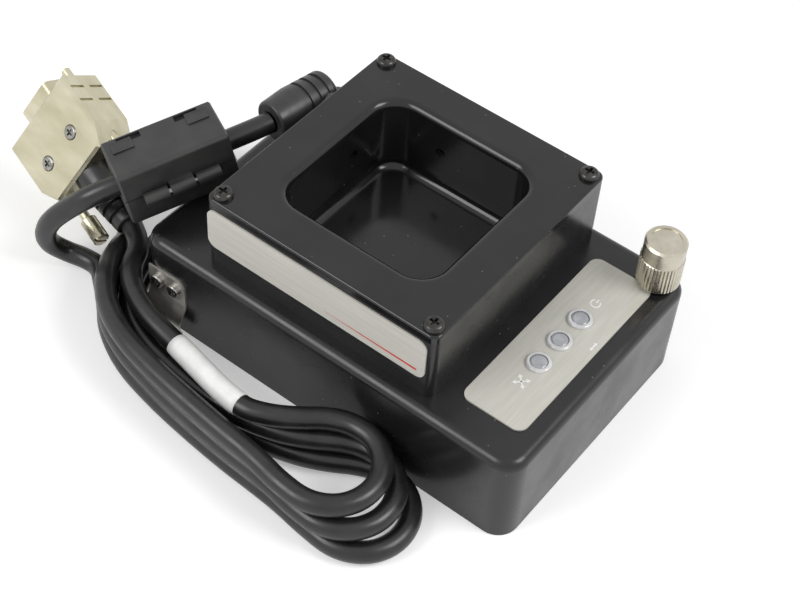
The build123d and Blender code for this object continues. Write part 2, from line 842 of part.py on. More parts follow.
def connector_insert():
    """The insulator with nine contact holes, in rows of five and four."""
    body = Pos(0, 0, -8.0) * extrude(d_outline(shell_width - 1.1, shell_height - 1.1), shell_reach + 7.6)
    for k in range(5):
        body -= Pos((k - 2) * 2.76, 1.42, shell_reach) * Cylinder(0.55, 6)
    for k in range(4):
        body -= Pos((k - 1.5) * 2.76, -1.42, shell_reach) * Cylinder(0.55, 6)
    return mating_plane() * body


def jackscrew(side):
    """A long screw through the hood: threaded tip, shank and a grooved grip; the lower one is drawn back."""
    grip = along_x(jack_grip, jack_start + 1.0, jack_end)
    grip = chamfer(grip.edges().filter_by(GeomType.CIRCLE), 0.4)
    for k in range(14):
        turn = Rot(k * 360 / 14, 0, 0)
        grip -= turn * Pos((jack_start + jack_end) / 2 + 2, jack_grip + 0.05, 0) * Box(jack_end - jack_start - 8, 0.5, 0.5)
    grip -= Pos(jack_end, 0, 0) * Box(2.0, 0.9, 8)
    shank = along_x(jack_shank, -jack_tip, jack_start + 1.0)
    shank = chamfer(shank.edges().group_by(Axis.X)[0], 0.4)
    drawn = jack_pull if side < 0 else 0.0
    return hood_plane() * Pos(drawn, side * jack_spread, 0) * (grip + shank)


def cable_boot():
    """The moulded sleeve behind the hood, tapered, with bending rings."""
    start = hood_length
    end = hood_length + boot_length
    profile = Polyline(
        (start, 0), (start, hood_neck), (start + 7, hood_neck - 0.3),
        (end, boot_tip_radius), (end, 0), close=True,
    )
    boot = revolve(make_face(profile), Axis.X)
    boot = fillet(boot.edges().group_by(Axis.X)[-1], 0.8)
    for k in range(3):
        station = start + 9.5 + k * 3.0
        ring = along_x(9, station, station + 1.1) - along_x(boot_tip_radius - 0.2, station, station + 1.1)
        boot -= ring
    boot -= along_x(cable_radius + cable_gap, end - 4.0, end + 1)
    return hood_plane() * boot


# ---------------------------------------------------------------- cable


def cord_tube(points, radius, name):
    """A round cord along straight runs and arcs, each arc as large as its runs allow."""
    radii = []
    for i in range(1, len(points) - 1):
        before = Vector(*points[i]) - Vector(*points[i - 1])
        after = Vector(*points[i + 1]) - Vector(*points[i])
        turn = math.radians(before.get_angle(after))
        radii.append(0.45 * min(before.length, after.length) / math.tan(turn / 2))
    print(name, "radii", [round(r, 1) for r in radii])
    path = FilletPolyline(*points, radius=radii)
    start = Plane(origin=path @ 0, z_dir=path % 0)
    tube = sweep(start * Circle(radius), path=path)
    print(name, "length", round(path.length, 1), "volume", round(tube.volume / (math.pi * radius**2 * path.length), 4))
    return tube


def to_points(plane, spots):
    """Points given in a piece's own plane, as points of the part."""
    return [tuple(plane.from_local_coords(Vector(*spot))) for spot in spots]


def lead_points():
    """The cable from the gland, through the ferrite and round the small loop to the bundle."""
    inside = to_points(gland_plane(), [(gland_ahead - gland_cap, 0, 0)])
    half = ferrite_length / 2
    through = to_points(ferrite_plane(), [(-half - 11.0, 0, 0), (half + 4.5, 0, 0)])
    loop = [
        (-88.5, -46.3, 27.5), (-94.6, -50.0, 19.6), (-97.0, -49.6, 10.5),
        (-93.9, -45.0, 4.2), (-88.3, -41.2, 3.15), (-81.8, -39.4, 3.15), (-76.5, -42.0, 3.15),
    ]
    return inside + through + loop


def tail_points():
    """The cable from the bundle's end, under the sleeve and over the bundle to the boot."""
    end = hood_length + boot_length
    into = to_points(hood_plane(), [(end + 6.5, 0, 0), (end - 4.0, 0, 0)])
    return [
        (-2.0, -63.4, 15.8), (-11.5, -62.3, 15.6), (-37.2, -56.6, 14.6), (-53.5, -54.0, 15.6),
        (-66.3, -46.8, 16.6),
    ] + into


def cable_lead():
    """The first stretch of the cable."""
    return cord_tube(lead_points(), cable_radius, "cable_lead")


def cable_tail():
    """The last stretch of the cable."""
    return cord_tube(tail_points(), cable_radius, "cable_tail")


def cable_sleeve():
    """The plain sleeve round the last stretch."""
    points = tail_points()
    first, last = Vector(*points[1]), Vector(*points[2])
    way = (last - first).normalized()
    middle = first + (last - first) * 0.5
    tube = along_x(sleeve_radius, -sleeve_length / 2, sleeve_length / 2)
    tube -= along_x(cable_radius, -sleeve_length, sleeve_length)
    return Plane(origin=middle, x_dir=way, z_dir=Vector(0, 0, 1).cross(way).cross(way) * -1) * tube


def cable_bundle():
    """The outer shape of the wound cable: two round ends and a waist along the front corner."""
    rear = Pos(*rear_bend) * Circle(bend_outer)
    waist_rear = trace(Spline((-77.5, -9.0), (-76.4, -24.0), (-73.8, -37.5), (-69.8, -47.2)), coil_width)
    waist_front = trace(
        Spline((-69.8, -47.2), (-62.4, -55.4), (-51.0, -61.2), (-36.5, -64.2), (-15.0, -66.6), (4.0, -66.0)),
        coil_width,
    )
    front = Pos(*front_bend) * Circle(bend_outer)
    low = extrude(rear + waist_rear + waist_front + front, coil_height)
    outer_lane = trace(
        Spline((-72.4, -49.2), (-64.5, -58.0), (-52.2, -64.2), (-37.2, -67.4), (-15.2, -69.8), (4.0, -69.4)),
        2 * cable_radius,
    )
    high = extrude(outer_lane + front, coil_ridge)
    return low + high


def build():
    """Make every piece and write its file."""
    os.makedirs("parts", exist_ok=True)
    save(base_housing(), "base_housing")
    save(bottom_plate(), "bottom_plate")
    save(plate_screws(), "bottom_plate_screws")
    save(tower_housing(), "tower_housing")
    save(well_cover(), "well_cover")
    save(cover_screws(), "cover_screws")
    save(tower_screws(), "tower_screws")
    save(nameplate(), "nameplate")
    for name in beam_places():
        save(beam_board(name), "beam_board_" + name)
    save(beam_lamp("front"), "beam_emitter_front")
    save(beam_lamp("left"), "beam_emitter_left")
    save(beam_lamp("back"), "beam_detector_back")
    save(beam_lamp("right"), "beam_detector_right")
    save(indicator_panel(), "indicator_panel")
    save(Compound(children=[indicator_bezel(k) for k in (-1, 0, 1)]), "indicator_bezels")
    for k, name in ((1, "power"), (0, "y"), (-1, "x")):
        save(indicator_window(k), "indicator_window_" + name)
    save(Compound(children=[indicator_lamp(k) for k in (-1, 0, 1)]), "indicator_lamps")
    save(indicator_board(), "indicator_board")
    save(indicator_board_screws(), "indicator_board_screws")
    save(controller_board(), "controller_board")
    save(board_screws(), "controller_board_screws")
    save(controller_chip(), "controller_chip")
    save(cable_header(), "cable_header")
    save(board_capacitors(), "board_capacitors")
    save(knob_washer(), "knob_washer")
    save(knob_head(), "knob_head")
    save(knob_stud(), "knob_stud")
    save(knob_bush(), "knob_bush")
    save(leaf_plate(), "leaf_plate")
    save(leaf_tongue(), "leaf_tongue")
    save(leaf_screws(), "leaf_screws")
    save(gland_body(), "gland_body")
    save(gland_cap_nut(), "gland_cap")
    save(gland_seal(), "gland_seal")
    save(gland_locknut(), "gland_locknut")
    save(ferrite_case(), "ferrite_case")
    save(ferrite_lid(), "ferrite_lid")
    save(ferrite_hinge_pin(), "ferrite_hinge_pin")
    save(ferrite_core(-1), "ferrite_core_lower")
    save(ferrite_core(1), "ferrite_core_upper")
    save(hood_near(), "hood_near")
    save(hood_far(), "hood_far")
    save(hood_screws(), "hood_screws")
    save(connector_shell(), "connector_shell")
    save(connector_insert(), "connector_insert")
    save(jackscrew(1), "jackscrew_upper")
    save(jackscrew(-1), "jackscrew_lower")
    save(cable_boot(), "cable_boot")
    save(cable_lead(), "cable_lead")
    save(cable_tail(), "cable_tail")
    save(cable_sleeve(), "cable_sleeve")
    save(cable_bundle(), "cable_bundle")


build()
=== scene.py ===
import json
import math
import bmesh
import bpy
from mathutils import Matrix, Vector

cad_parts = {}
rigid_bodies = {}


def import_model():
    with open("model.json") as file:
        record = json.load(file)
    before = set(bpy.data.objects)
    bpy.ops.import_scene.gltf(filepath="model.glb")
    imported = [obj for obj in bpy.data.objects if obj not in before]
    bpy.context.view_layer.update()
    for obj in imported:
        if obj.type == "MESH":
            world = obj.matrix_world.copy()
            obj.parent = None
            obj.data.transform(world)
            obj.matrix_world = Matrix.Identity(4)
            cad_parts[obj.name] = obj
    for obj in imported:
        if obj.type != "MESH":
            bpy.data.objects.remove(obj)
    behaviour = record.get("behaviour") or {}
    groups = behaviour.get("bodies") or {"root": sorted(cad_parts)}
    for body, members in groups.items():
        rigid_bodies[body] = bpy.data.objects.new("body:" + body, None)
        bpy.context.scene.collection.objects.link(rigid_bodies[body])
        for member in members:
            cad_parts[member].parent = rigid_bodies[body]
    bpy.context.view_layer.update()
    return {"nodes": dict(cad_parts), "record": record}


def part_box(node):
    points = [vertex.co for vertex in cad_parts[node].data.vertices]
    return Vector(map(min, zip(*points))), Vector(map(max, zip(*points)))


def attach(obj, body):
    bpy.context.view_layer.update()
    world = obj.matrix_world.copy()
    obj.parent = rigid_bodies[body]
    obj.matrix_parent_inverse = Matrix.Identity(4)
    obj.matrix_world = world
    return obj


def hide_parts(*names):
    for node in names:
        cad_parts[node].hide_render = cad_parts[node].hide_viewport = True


for stray in list(bpy.data.objects):  # a new file's own cube, lamp and camera
    bpy.data.objects.remove(stray)
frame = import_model()
nodes = frame["nodes"]
slotOf = {entry["node"]: entry["material_slot"] for entry in frame["record"]["subparts"]}
print("frame loaded,", len(nodes), "nodes")


def addObject(name, data):
    obj = bpy.data.objects.new(name, data)
    bpy.context.scene.collection.objects.link(obj)
    return obj


def addMesh(name, bm):
    mesh = bpy.data.meshes.new(name)
    bm.to_mesh(mesh)
    bm.free()
    return addObject(name, mesh)


def thicken(bm, faces, push):  # faces become a closed block, as deep as the push
    made = bmesh.ops.extrude_face_region(bm, geom=faces, use_keep_orig=True)["geom"]
    raised = [v for v in made if isinstance(v, bmesh.types.BMVert)]
    bmesh.ops.translate(bm, verts=raised, vec=push)
    return [f for f in made if isinstance(f, bmesh.types.BMFace)]


# camera: where it stands, and its own right, up and back
view = {
    "place": (0.1780966, -0.2665037, 0.3820242),
    "right": (0.789228, 0.611921, 0.051686),
    "up": (-0.490278, 0.577177, 0.653065),
    "back": (0.369793, -0.540758, 0.755536),
    "lens": 77.036,
    "sensor": 36.0,
    "near": 0.01,
    "far": 20.0,
}


def makeCamera(v):
    data = bpy.data.cameras.new("camera")
    data.lens = v["lens"]
    data.sensor_width = v["sensor"]
    data.clip_start = v["near"]
    data.clip_end = v["far"]
    cam = addObject("camera", data)
    turn = Matrix((v["right"], v["up"], v["back"])).transposed()
    cam.matrix_world = Matrix.Translation(v["place"]) @ turn.to_4x4()
    bpy.context.scene.camera = cam


makeCamera(view)
print("camera placed")


# the cable's line, in metres
lead = {  # out of the gland, through the ferrite, round the free loop and down to the floor
    "exit": (-0.05596, 0.00358, 0.0452),
    "points": [
        (-0.05735, -0.00060, 0.04460),
        (-0.07957, -0.04121, 0.03626),
        (-0.08850, -0.04630, 0.02750),
        (-0.09460, -0.05000, 0.01960),
        (-0.09700, -0.04960, 0.01050),
        (-0.09390, -0.04500, 0.00420),
        (-0.08830, -0.04260, 0.00315),
        (-0.08250, -0.04240, 0.00315),
        (-0.07750, -0.04620, 0.00315),
        (-0.07150, -0.05080, 0.00315),
    ],
}

turns = {  # the spare length lies in long flat turns, three high, which fan out at the front end
    "layers": (0.00315, 0.00950, 0.01585),  # heights of the cable's middle
    "outerLane": [(-0.0643, -0.0580), (-0.0520, -0.0642), (-0.0370, -0.0674), (-0.0225, -0.0693)],
    "frontEnds": [
        [  # lowest turn, the longest
            (-0.0080, -0.0706), (0.0030, -0.0710), (0.0125, -0.0716), (0.0220, -0.0730), (0.0320, -0.0736),
            (0.0393, -0.0698), (0.0429, -0.0636), (0.0429, -0.0564), (0.0393, -0.0502), (0.0331, -0.0466),
            (0.0259, -0.0466), (0.0195, -0.0491), (0.0130, -0.0534), (0.0050, -0.0572), (-0.0060, -0.0602),
            (-0.0200, -0.0615),
        ],
        [  # middle turn
            (-0.0085, -0.0708), (0.0010, -0.0712), (0.0090, -0.0720), (0.0175, -0.0735), (0.0270, -0.0740),
            (0.0343, -0.0702), (0.0380, -0.0638), (0.0379, -0.0564), (0.0342, -0.0502), (0.0280, -0.0468),
            (0.0208, -0.0468), (0.0145, -0.0494), (0.0080, -0.0540), (0.0000, -0.0580), (-0.0105, -0.0608),
            (-0.0225, -0.0617),
        ],
        [  # top turn, which runs back into the sleeve
            (-0.0090, -0.0708), (-0.0010, -0.0714), (0.0060, -0.0724), (0.0135, -0.0738), (0.0222, -0.0741),
            (0.0293, -0.0704), (0.0330, -0.0641), (0.0330, -0.0567), (0.0293, -0.0505), (0.0231, -0.0470),
            (0.0159, -0.0470), (0.0097, -0.0498), (0.0040, -0.0546), (-0.0030, -0.0593),
        ],
    ],
    "innerLane": [
        (-0.0360, -0.0609), (-0.0500, -0.0582), (-0.0605, -0.0528), (-0.0671, -0.0455),
        (-0.0707, -0.0366), (-0.0732, -0.0236),
    ],
    "rearMiddle": (-0.0880, -0.0040),
    "rearBend": [
        (-0.0710, -0.0086), (-0.0710, 0.0006), (-0.0756, 0.0084), (-0.0834, 0.0130),
        (-0.0926, 0.0130), (-0.1004, 0.0084), (-0.1050, 0.0006), (-0.1050, -0.0086),
        (-0.1004, -0.0164), (-0.0926, -0.0225), (-0.0850, -0.0275),
    ],
    "corner": [(-0.0799, -0.0332), (-0.0769, -0.0389), (-0.0725, -0.0489)],
    "cornerRise": [(0.00320, 0.00735, 0.00980), (0.00945, 0.01365, 0.01610)],
    "rearSwell": (1.00, 0.97),  # size of each rear bend about its middle
}

tail = [  # the top strand, up over the turns to the connector's boot
    (-0.01150, -0.06230, 0.01580),
    (-0.03720, -0.05660, 0.01500),
    (-0.05350, -0.05400, 0.01560),
    (-0.06630, -0.04680, 0.01660),
    (-0.07074, -0.03536, 0.01721),
    (-0.08059, -0.03270, 0.01969),
]

cableLook = {"radius": 0.00315, "diameter": 0.0063, "length": 1.17, "around": 6, "along": 10}


def atHeight(line, z, middle=(0.0, 0.0), swell=1.0):
    cx, cy = middle
    return [(cx + (x - cx) * swell, cy + (y - cy) * swell, z) for x, y in line]


def cableRoute():
    t = turns
    route = [lead["exit"]] + lead["points"]
    for layer, z in enumerate(t["layers"]):
        route += atHeight(t["outerLane"] + t["frontEnds"][layer], z)
        if layer < len(t["rearSwell"]):  # the top turn has no rear bend and runs on into the tail
            route += atHeight(t["innerLane"], z)
            route += atHeight(t["rearBend"], z, t["rearMiddle"], t["rearSwell"][layer])
            route += [(x, y, high) for (x, y), high in zip(t["corner"], t["cornerRise"][layer])]
    return route + tail


def makeCable(look):
    curve = bpy.data.curves.new("cable", "CURVE")
    curve.dimensions = "3D"
    curve.bevel_depth = 1.0  # the radius is on the points, so the curve's own box stays true
    curve.bevel_resolution = look["around"]
    curve.resolution_u = look["along"]
    curve.use_fill_caps = True
    route = cableRoute()
    line = curve.splines.new("NURBS")
    line.points.add(len(route) - 1)
    for point, place in zip(line.points, route):
        point.co = (*place, 1.0)
        point.radius = look["radius"]
    line.order_u = 3
    line.use_endpoint_u = True
    line.resolution_u = look["along"]
    return addObject("cable", curve)


cable = makeCable(cableLook)
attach(cable, "root")
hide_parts("cable_lead", "cable_tail", "cable_bundle")


def lineOf(curveObject):  # the points down the cable's middle
    bare = curveObject.data.copy()
    bare.bevel_depth = 0.0
    probe = addObject("probe", bare)
    bpy.context.view_layer.update()
    mesh = bpy.data.meshes.new_from_object(probe)
    line = [v.co.copy() for v in mesh.vertices]
    bpy.data.objects.remove(probe)
    bpy.data.curves.remove(bare)
    bpy.data.meshes.remove(mesh)
    return line


cableLine = lineOf(cable)
laid = sum((b - a).length for a, b in zip(cableLine, cableLine[1:]))
print("cable laid,", len(cableLine), "points,", round(laid, 4), "m")


# finishes
finishes = {  # linear colours; cloud and grain repeat per metre, depth is the bump in metres
    "housingBlack": {
        "dark": (0.009, 0.009, 0.0098), "light": (0.016, 0.0156, 0.0168),
        "cloud": 45, "rough": (0.20, 0.32), "grain": 2600, "depth": 0.000012, "ior": 1.46, "specks": 0.13,
    },
    "coverBlack": {
        "dark": (0.008, 0.008, 0.0088), "light": (0.013, 0.0128, 0.0138),
        "cloud": 60, "rough": (0.12, 0.20), "grain": 2600, "depth": 0.000008, "ior": 1.46, "specks": 0.10,
    },
    "nylonBlack": {
        "dark": (0.020, 0.020, 0.020), "light": (0.034, 0.034, 0.034),
        "cloud": 160, "rough": (0.34, 0.46), "grain": 4200, "depth": 0.00002,
    },
    "caseGrey": {
        "dark": (0.020, 0.020, 0.021), "light": (0.032, 0.032, 0.031),
        "cloud": 120, "rough": (0.36, 0.50), "grain": 5200, "depth": 0.00003,
    },
    "coreGrey": {
        "dark": (0.035, 0.034, 0.033), "light": (0.075, 0.073, 0.070),
        "cloud": 900, "rough": (0.55, 0.75), "grain": 6000, "depth": 0.00005,
    },
    "rubberBlack": {
        "dark": (0.010, 0.010, 0.010), "light": (0.019, 0.019, 0.0195),
        "cloud": 160, "rough": (0.27, 0.37), "grain": 3000, "depth": 0.00001,
    },
    "partBlack": {
        "dark": (0.014, 0.014, 0.014), "light": (0.030, 0.030, 0.030),
        "cloud": 300, "rough": (0.35, 0.5), "grain": 4000, "depth": 0.00002,
    },
    "labelGrey": {
        "dark": (0.545, 0.535, 0.475), "light": (0.600, 0.590, 0.535),
        "cloud": 1100, "rough": (0.40, 0.48), "grain": 1900, "depth": 0.000004,
        "stretch": (1.0, 0.06, 1.0), "metal": 0.12,
    },
    "plateGrey": {
        "dark": (0.60, 0.585, 0.53), "light": (0.66, 0.645, 0.59),
        "cloud": 900, "rough": (0.40, 0.48), "grain": 1900, "depth": 0.000004,
        "stretch": (0.06, 1.0, 1.0), "metal": 0.0,
    },
    "hoodNickel": {
        "dark": (0.52, 0.485, 0.345), "light": (0.63, 0.595, 0.45),
        "cloud": 150, "rough": (0.26, 0.40), "grain": 1500, "depth": 0.00003,
        "stretch": (0.35, 1.0, 1.0), "metal": 0.9,
    },
    "knobNickel": {
        "dark": (0.47, 0.44, 0.36), "light": (0.57, 0.535, 0.45),
        "cloud": 240, "rough": (0.20, 0.30), "grain": 5000, "depth": 0.00001, "metal": 1.0,
    },
    "leafSteel": {
        "dark": (0.56, 0.54, 0.49), "light": (0.74, 0.72, 0.67),
        "cloud": 260, "rough": (0.30, 0.46), "grain": 1600, "depth": 0.000006, "metal": 0.8,
    },
    "screwSteel": {
        "dark": (0.22, 0.215, 0.20), "light": (0.42, 0.41, 0.39),
        "cloud": 800, "rough": (0.22, 0.38), "grain": 3600, "depth": 0.00002, "metal": 1.0,
    },
    "screwBlack": {
        "dark": (0.030, 0.029, 0.028), "light": (0.060, 0.058, 0.055),
        "cloud": 800, "rough": (0.18, 0.32), "grain": 3600, "depth": 0.00002, "metal": 0.6,
    },
    "brass": {
        "dark": (0.52, 0.36, 0.14), "light": (0.70, 0.52, 0.25),
        "cloud": 500, "rough": (0.25, 0.4), "grain": 3600, "depth": 0.00002, "metal": 1.0,
    },
    "boardGreen": {
        "dark": (0.015, 0.085, 0.035), "light": (0.03, 0.14, 0.06),
        "cloud": 500, "rough": (0.3, 0.45), "grain": 2500, "depth": 0.00003,
    },
    "lensClear": {
        "dark": (0.30, 0.31, 0.33), "light": (0.42, 0.43, 0.46),
        "cloud": 300, "rough": (0.05, 0.12), "grain": 1500, "depth": 0.00001, "coat": 1.0,
    },
    "ringClear": {
        "dark": (0.56, 0.56, 0.56), "light": (0.70, 0.70, 0.71),
        "cloud": 300, "rough": (0.10, 0.18), "grain": 1500, "depth": 0.00001, "coat": 1.0,
    },
    "sleeveWhite": {
        "dark": (0.84, 0.84, 0.83), "light": (0.92, 0.92, 0.91),
        "cloud": 260, "rough": (0.35, 0.5), "grain": 2200, "depth": 0.00003,
    },
    "markWhite": {
        "dark": (0.80, 0.80, 0.78), "light": (0.90, 0.90, 0.89),
        "cloud": 900, "rough": (0.4, 0.5), "grain": 2500, "depth": 0.00001,
    },
    "stripeRed": {
        "dark": (0.62, 0.045, 0.03), "light": (0.74, 0.07, 0.045),
        "cloud": 900, "rough": (0.35, 0.45), "grain": 2500, "depth": 0.00001,
    },
}

pattern = {  # what all the finishes share
    "cloudDetail": 4.0, "cloudSpan": (0.36, 0.66),
    "wearScale": 1.7, "wearDetail": 6.0, "wearSpan": (0.35, 0.65),
    "grainDetail": 3.0, "grainStrength": 0.6,
    "dustScale": 210, "dustEdge": (0.035, 0.060),
}


def addNoise(tree, coords, scale, detail, stretch):
    noise = tree.nodes.new("ShaderNodeTexNoise")
    noise.inputs["Scale"].default_value = scale
    noise.inputs["Detail"].default_value = detail
    if stretch:
        mapping = tree.nodes.new("ShaderNodeMapping")
        mapping.inputs["Scale"].default_value = stretch
        tree.links.new(coords.outputs["Object"], mapping.inputs["Vector"])
        tree.links.new(mapping.outputs["Vector"], noise.inputs["Vector"])
    else:
        tree.links.new(coords.outputs["Object"], noise.inputs["Vector"])
    return noise


def addRamp(tree, fac, span, low, high):
    ramp = tree.nodes.new("ShaderNodeValToRGB")
    for stop, place, colour in zip(ramp.color_ramp.elements, span, (low, high)):
        stop.position = place
        stop.color = (*colour, 1.0)
    tree.links.new(fac, ramp.inputs["Fac"])
    return ramp.outputs["Color"]


def makeFinish(name, look, p):
    mat = bpy.data.materials.new(name)
    mat.use_nodes = True
    tree = mat.node_tree
    new, link = tree.nodes.new, tree.links.new
    shader = tree.nodes["Principled BSDF"]
    coords = new("ShaderNodeTexCoord")
    stretch = look.get("stretch")
    cloud = addNoise(tree, coords, look["cloud"], p["cloudDetail"], stretch)
    colour = addRamp(tree, cloud.outputs["Fac"], p["cloudSpan"], look["dark"], look["light"])
    if "specks" in look:  # a little dust on the gloss
        dust = new("ShaderNodeTexVoronoi")
        dust.inputs["Scale"].default_value = p["dustScale"]
        link(coords.outputs["Object"], dust.inputs["Vector"])
        spot = addRamp(tree, dust.outputs["Distance"], p["dustEdge"], (1, 1, 1), (0, 0, 0))
        mix = new("ShaderNodeMix")
        mix.data_type = "RGBA"
        clean, dusty, mixed = mix.inputs[6], mix.inputs[7], mix.outputs[2]  # the node's colour sockets
        link(spot, mix.inputs["Factor"])
        link(colour, clean)
        dusty.default_value = (look["specks"],) * 3 + (1.0,)
        colour = mixed
    link(colour, shader.inputs["Base Color"])
    worn = addNoise(tree, coords, look["cloud"] * p["wearScale"], p["wearDetail"], stretch)
    rough = new("ShaderNodeMapRange")
    rough.inputs["From Min"].default_value, rough.inputs["From Max"].default_value = p["wearSpan"]
    rough.inputs["To Min"].default_value, rough.inputs["To Max"].default_value = look["rough"]
    link(worn.outputs["Fac"], rough.inputs["Value"])
    link(rough.outputs["Result"], shader.inputs["Roughness"])
    grain = addNoise(tree, coords, look["grain"], p["grainDetail"], stretch)
    bump = new("ShaderNodeBump")
    bump.inputs["Strength"].default_value = p["grainStrength"]
    bump.inputs["Distance"].default_value = look["depth"]
    link(grain.outputs["Fac"], bump.inputs["Height"])
    link(bump.outputs["Normal"], shader.inputs["Normal"])
    shader.inputs["Metallic"].default_value = look.get("metal", 0.0)
    shader.inputs["IOR"].default_value = look.get("ior", 1.5)
    shader.inputs["Coat Weight"].default_value = look.get("coat", 0.0)
    return mat


finish = {name: makeFinish(name, look, pattern) for name, look in finishes.items()}

turned = {"anisotropy": 0.82}  # the knob's finish runs round its axis


def turnFinish(mat, look):
    tree = mat.node_tree
    shader = tree.nodes["Principled BSDF"]
    shader.inputs["Anisotropic"].default_value = look["anisotropy"]
    tangent = tree.nodes.new("ShaderNodeTangent")
    tangent.direction_type = "RADIAL"
    tangent.axis = "Z"
    tree.links.new(tangent.outputs["Tangent"], shader.inputs["Tangent"])


turnFinish(finish["knobNickel"], turned)

slotFinish = {
    "housing_black": "housingBlack", "screw_steel": "screwSteel", "label_grey": "labelGrey",
    "board_green": "boardGreen", "lamp_clear": "lensClear", "bezel_grey": "ringClear",
    "part_black": "partBlack", "knob_nickel": "knobNickel", "brass": "brass", "leaf_steel": "leafSteel",
    "gland_black": "nylonBlack", "rubber_black": "rubberBlack", "ferrite_plastic": "caseGrey",
    "ferrite_core": "coreGrey", "hood_nickel": "hoodNickel", "cable_black": "rubberBlack",
    "sleeve_white": "sleeveWhite",
}
nodeFinish = {  # pieces that differ from their slot
    "well_cover": "coverBlack", "nameplate": "plateGrey",
    "cover_screws": "screwBlack", "tower_screws": "screwBlack",
}


def coat(obj, name):
    obj.data.materials.clear()
    obj.data.materials.append(finish[name])


for name, obj in nodes.items():
    coat(obj, nodeFinish.get(name, slotFinish[slotOf[name]]))
coat(cable, "rubberBlack")
print("finishes made,", len(finish))


# sleeve on the cable, drawn in a little at both ends
sleeve = {
    "middle": (-0.02435, -0.05945, 0.01535), "half": 0.013,
    "radius": 0.0034, "edge": 0.00012, "sides": 32,
}


def makeSleeve(s):
    near = min(range(len(cableLine)), key=lambda i: (cableLine[i] - Vector(s["middle"])).length)
    first = last = near
    while (cableLine[first] - cableLine[near]).length < s["half"]:
        first -= 1
    while (cableLine[last] - cableLine[near]).length < s["half"]:
        last += 1
    run = cableLine[first:last + 1]
    bm = bmesh.new()
    rings = []
    for i, place in enumerate(run):
        ahead = (run[min(i + 1, len(run) - 1)] - run[max(i - 1, 0)]).normalized()
        turn = ahead.to_track_quat("Z", "Y").to_matrix().to_4x4()
        out = s["radius"] - (s["edge"] if i in (0, len(run) - 1) else 0.0)
        made = bmesh.ops.create_circle(bm, segments=s["sides"], radius=out,
                                       matrix=Matrix.Translation(place) @ turn)
        rings.append(made["verts"])
    for a, b in zip(rings, rings[1:]):
        edges = {e for v in a + b for e in v.link_edges if e.other_vert(v) in a or e.other_vert(v) in b}
        bmesh.ops.bridge_loops(bm, edges=list(edges))
    for end in (rings[0], rings[-1]):
        bmesh.ops.contextual_create(bm, geom=end)
    bmesh.ops.recalc_face_normals(bm, faces=bm.faces)
    obj = addMesh("cableSleeve", bm)
    obj.data.shade_smooth()
    coat(obj, "sleeveWhite")
    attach(obj, "root")
    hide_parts("cable_sleeve")


makeSleeve(sleeve)
print("sleeve made")


# signs on the indicator panel
signs = {"top": 0.03190, "lift": 0.00006, "line": 0.00042}  # the panel's face, and the print on it


def layOnPanel(name, bm, place, g):
    bmesh.ops.recalc_face_normals(bm, faces=bm.faces)
    thicken(bm, list(bm.faces), (0, 0, g["lift"]))
    bmesh.ops.recalc_face_normals(bm, faces=bm.faces)
    bmesh.ops.translate(bm, verts=bm.verts, vec=(*place, g["top"]))
    obj = addMesh(name, bm)
    coat(obj, "markWhite")
    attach(obj, "root")


def sideways(a, b, reach):  # square to the way from a to b
    way = b - a
    return Vector((-way.y, way.x, 0.0)).normalized() * reach


def addBar(bm, a, b, width):
    side = sideways(a, b, width) / 2
    corners = (a - side, b - side, b + side, a + side)
    bmesh.ops.contextual_create(bm, geom=[bm.verts.new(p) for p in corners])


def addHead(bm, tip, back, half):
    side = sideways(tip, back, half)
    bmesh.ops.contextual_create(bm, geom=[bm.verts.new(p) for p in (tip, back + side, back - side)])


def addArc(bm, radius, width, fromAngle, toAngle, steps):
    out = Vector((math.cos(fromAngle), math.sin(fromAngle), 0.0))
    inner = bm.verts.new(out * (radius - width / 2))
    outer = bm.verts.new(out * (radius + width / 2))
    edge = bm.edges.new((inner, outer))
    bmesh.ops.spin(bm, geom=[inner, outer, edge], cent=(0, 0, 0), axis=(0, 0, 1),
                   angle=toAngle - fromAngle, steps=steps)


powerSign = {"place": (0.0482, 0.0176), "radius": 0.00135, "gap": 38.0, "steps": 28, "stem": (0.25, 1.3)}
sideSign = {
    "place": (0.0562, 0.0045), "angles": (90,),
    "reach": 0.0017, "head": 0.0009, "half": 0.00062,
}
crossSign = {
    "place": (0.0482, -0.0176), "angles": (45, 135),
    "reach": 0.0025, "head": 0.0010, "half": 0.00070,
}


def makePowerSign(s, g):
    bm = bmesh.new()
    gap = math.radians(s["gap"])  # half of the ring's opening, at its top
    addArc(bm, s["radius"], g["line"], math.pi / 2 + gap, math.pi * 2.5 - gap, s["steps"])
    low, high = (Vector((0, s["radius"] * share, 0)) for share in s["stem"])
    addBar(bm, low, high, g["line"])
    layOnPanel("signPower", bm, s["place"], g)


def makeArrowSign(name, s, g):  # double-headed arrows, one for each angle
    bm = bmesh.new()
    stem = s["reach"] - s["head"]
    for angle in s["angles"]:
        along = Vector((math.cos(math.radians(angle)), math.sin(math.radians(angle)), 0))
        for way in (-1, 1):
            addHead(bm, along * s["reach"] * way, along * stem * way, s["half"])
        addBar(bm, along * -stem, along * stem, g["line"])
    layOnPanel(name, bm, s["place"], g)


makePowerSign(powerSign, signs)
makeArrowSign("signSide", sideSign, signs)
makeArrowSign("signCross", crossSign, signs)
print("signs made")


# latch windows: two shallow frames in the top of the ferrite's lid
latch = {
    "middle": (-0.0698, -0.0230, 0.0400), "rise": 0.00902, "aside": -0.0038, "spread": 0.0112,
    "long": 0.0062, "wide": 0.0046, "rim": 0.0006, "high": 0.00035, "sill": 0.1,
    "along": (-0.46501, -0.86724, -0.17794), "across": (0.86916, -0.48518, 0.09568),
}


